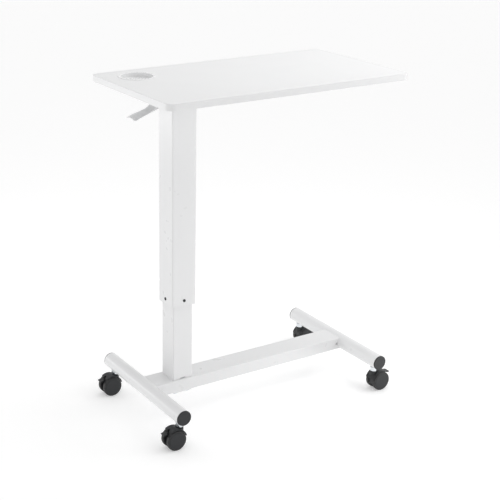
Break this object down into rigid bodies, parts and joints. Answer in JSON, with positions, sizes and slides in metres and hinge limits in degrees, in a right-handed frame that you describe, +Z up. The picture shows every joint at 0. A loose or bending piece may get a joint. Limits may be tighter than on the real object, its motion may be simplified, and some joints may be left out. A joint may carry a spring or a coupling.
{
  "type": "overbed table",
  "caption": "Height-adjustable overbed table: offset telescopic column with a squeeze lever, rectangular top with cup recess, wheeled H-shaped base with locking casters.",
  "frame": {"origin": "on the floor under the middle of the tabletop, with the lift halfway up its stroke", "axes": "+X along the tabletop, away from the column; +Y to the table's rear edge, where the cup recess is; +Z up"},
  "size_m": [0.7202, 0.395, 0.8882],
  "materials": {
    "white_steel": "satin white powder coat",
    "lever_paint": "satin pale grey paint",
    "black_steel": "black finish",
    "bare_steel": "plain steel",
    "tabletop_laminate": "fine-textured white laminate on fibreboard",
    "edge_band": "white plastic edge strip",
    "white_plastic": "satin white moulded plastic",
    "black_plastic": "satin black moulded plastic",
    "caster_plastic": "satin black nylon",
    "tyre": "black polyurethane",
    "glide_plastic": "dark acetal",
    "zinc": "bright zinc plate",
    "chrome_rod": "ground and chromed steel"
  },
  "bodies": {
    "base": {"left_cross_tube": "white_steel", "right_cross_tube": "white_steel", "base_rail": "white_steel", "tube_end_caps": "black_plastic", "foot_plate": "bare_steel", "clamp_plate": "white_steel", "clamp_bolts": "zinc", "stem_inserts": "zinc", "caster_stems": "zinc", "inner_column": "white_steel", "upper_glide": "glide_plastic", "gas_spring_cylinder": "black_steel", "gas_spring_guide": "glide_plastic", "gas_spring_nut": "zinc"},
    "tabletop_lift": {"tabletop": "tabletop_laminate", "edge_band": "edge_band", "cup_holder": "white_plastic", "head_plate": "black_steel", "tabletop_screws": "zinc", "outer_column": "white_steel", "lower_glide": "glide_plastic", "glide_screws": "black_steel", "gas_spring_rod": "chrome_rod", "gas_spring_piston": "bare_steel", "rod_crossbar": "bare_steel", "rod_nuts": "zinc", "lever_bracket": "bare_steel", "lever_pin": "zinc", "lever_clip": "bare_steel"},
    "lever": {"release_lever": "lever_paint"},
    "valve_pin": {"release_pin": "chrome_rod"},
    "front_left_caster": {"front_left_caster_hood": "caster_plastic", "front_left_caster_axle": "zinc"},
    "front_left_caster_outer_wheel": {"front_left_caster_outer_wheel": "caster_plastic", "front_left_caster_outer_tyre": "tyre"},
    "front_left_caster_inner_wheel": {"front_left_caster_inner_wheel": "caster_plastic", "front_left_caster_inner_tyre": "tyre"},
    "front_left_caster_pedal": {"front_left_caster_pedal": "caster_plastic"},
    "rear_left_caster": {"rear_left_caster_hood": "caster_plastic", "rear_left_caster_axle": "zinc"},
    "rear_left_caster_outer_wheel": {"rear_left_caster_outer_wheel": "caster_plastic", "rear_left_caster_outer_tyre": "tyre"},
    "rear_left_caster_inner_wheel": {"rear_left_caster_inner_wheel": "caster_plastic", "rear_left_caster_inner_tyre": "tyre"},
    "rear_left_caster_pedal": {"rear_left_caster_pedal": "caster_plastic"},
    "front_right_caster": {"front_right_caster_hood": "caster_plastic", "front_right_caster_axle": "zinc"},
    "front_right_caster_outer_wheel": {"front_right_caster_outer_wheel": "caster_plastic", "front_right_caster_outer_tyre": "tyre"},
    "front_right_caster_inner_wheel": {"front_right_caster_inner_wheel": "caster_plastic", "front_right_caster_inner_tyre": "tyre"},
    "front_right_caster_pedal": {"front_right_caster_pedal": "caster_plastic"},
    "rear_right_caster": {"rear_right_caster_hood": "caster_plastic", "rear_right_caster_axle": "zinc"},
    "rear_right_caster_outer_wheel": {"rear_right_caster_outer_wheel": "caster_plastic", "rear_right_caster_outer_tyre": "tyre"},
    "rear_right_caster_inner_wheel": {"rear_right_caster_inner_wheel": "caster_plastic", "rear_right_caster_inner_tyre": "tyre"},
    "rear_right_caster_pedal": {"rear_right_caster_pedal": "caster_plastic"}
  },
  "joints": [
    {"name": "tabletop_height", "type": "slide", "parent": "base", "child": "tabletop_lift", "axis": [0, 0, 1], "range_m": [-0.2, 0.2]},
    {"name": "lever_squeeze", "type": "hinge", "parent": "tabletop_lift", "child": "lever", "pos_m": [-0.238, 0, 0.853], "axis": [0, 1, 0], "range_deg": [0, 10], "stiffness_Nm_per_rad": 4, "springref_deg": -2.86},
    {"name": "valve_press", "type": "slide", "parent": "tabletop_lift", "child": "valve_pin", "axis": [0, 0, 1], "range_m": [-0.0039, 0.0001]},
    {"name": "front_left_caster_swivel", "type": "hinge", "parent": "base", "child": "front_left_caster", "pos_m": [-0.311, -0.172, 0.057], "axis": [0, 0, 1], "continuous": true},
    {"name": "front_left_caster_outer_roll", "type": "hinge", "parent": "front_left_caster", "child": "front_left_caster_outer_wheel", "pos_m": [-0.327, -0.172, 0.0265], "axis": [0, 1, 0], "continuous": true},
    {"name": "front_left_caster_inner_roll", "type": "hinge", "parent": "front_left_caster", "child": "front_left_caster_inner_wheel", "pos_m": [-0.327, -0.172, 0.0265], "axis": [0, 1, 0], "continuous": true},
    {"name": "front_left_caster_brake", "type": "hinge", "parent": "front_left_caster", "child": "front_left_caster_pedal", "pos_m": [-0.342, -0.172, 0.041], "axis": [0, -1, 0], "range_deg": [0, 15]},
    {"name": "rear_left_caster_swivel", "type": "hinge", "parent": "base", "child": "rear_left_caster", "pos_m": [-0.311, 0.172, 0.057], "axis": [0, 0, 1], "continuous": true},
    {"name": "rear_left_caster_outer_roll", "type": "hinge", "parent": "rear_left_caster", "child": "rear_left_caster_outer_wheel", "pos_m": [-0.327, 0.172, 0.0265], "axis": [0, 1, 0], "continuous": true},
    {"name": "rear_left_caster_inner_roll", "type": "hinge", "parent": "rear_left_caster", "child": "rear_left_caster_inner_wheel", "pos_m": [-0.327, 0.172, 0.0265], "axis": [0, 1, 0], "continuous": true},
    {"name": "rear_left_caster_brake", "type": "hinge", "parent": "rear_left_caster", "child": "rear_left_caster_pedal", "pos_m": [-0.342, 0.172, 0.041], "axis": [0, -1, 0], "range_deg": [0, 15]},
    {"name": "front_right_caster_swivel", "type": "hinge", "parent": "base", "child": "front_right_caster", "pos_m": [0.311, -0.172, 0.057], "axis": [0, 0, 1], "continuous": true},
    {"name": "front_right_caster_outer_roll", "type": "hinge", "parent": "front_right_caster", "child": "front_right_caster_outer_wheel", "pos_m": [0.327, -0.172, 0.0265], "axis": [0, 1, 0], "continuous": true},
    {"name": "front_right_caster_inner_roll", "type": "hinge", "parent": "front_right_caster", "child": "front_right_caster_inner_wheel", "pos_m": [0.327, -0.172, 0.0265], "axis": [0, 1, 0], "continuous": true},
    {"name": "front_right_caster_brake", "type": "hinge", "parent": "front_right_caster", "child": "front_right_caster_pedal", "pos_m": [0.342, -0.172, 0.041], "axis": [0, 1, 0], "range_deg": [0, 15]},
    {"name": "rear_right_caster_swivel", "type": "hinge", "parent": "base", "child": "rear_right_caster", "pos_m": [0.311, 0.172, 0.057], "axis": [0, 0, 1], "continuous": true},
    {"name": "rear_right_caster_outer_roll", "type": "hinge", "parent": "rear_right_caster", "child": "rear_right_caster_outer_wheel", "pos_m": [0.327, 0.172, 0.0265], "axis": [0, 1, 0], "continuous": true},
    {"name": "rear_right_caster_inner_roll", "type": "hinge", "parent": "rear_right_caster", "child": "rear_right_caster_inner_wheel", "pos_m": [0.327, 0.172, 0.0265], "axis": [0, 1, 0], "continuous": true},
    {"name": "rear_right_caster_brake", "type": "hinge", "parent": "rear_right_caster", "child": "rear_right_caster_pedal", "pos_m": [0.342, 0.172, 0.041], "axis": [0, 1, 0], "range_deg": [0, 15]}
  ],
  "couplings": [
    {"joint": "valve_press", "follows": "lever_squeeze", "m_per_rad": -0.022}
  ]
}
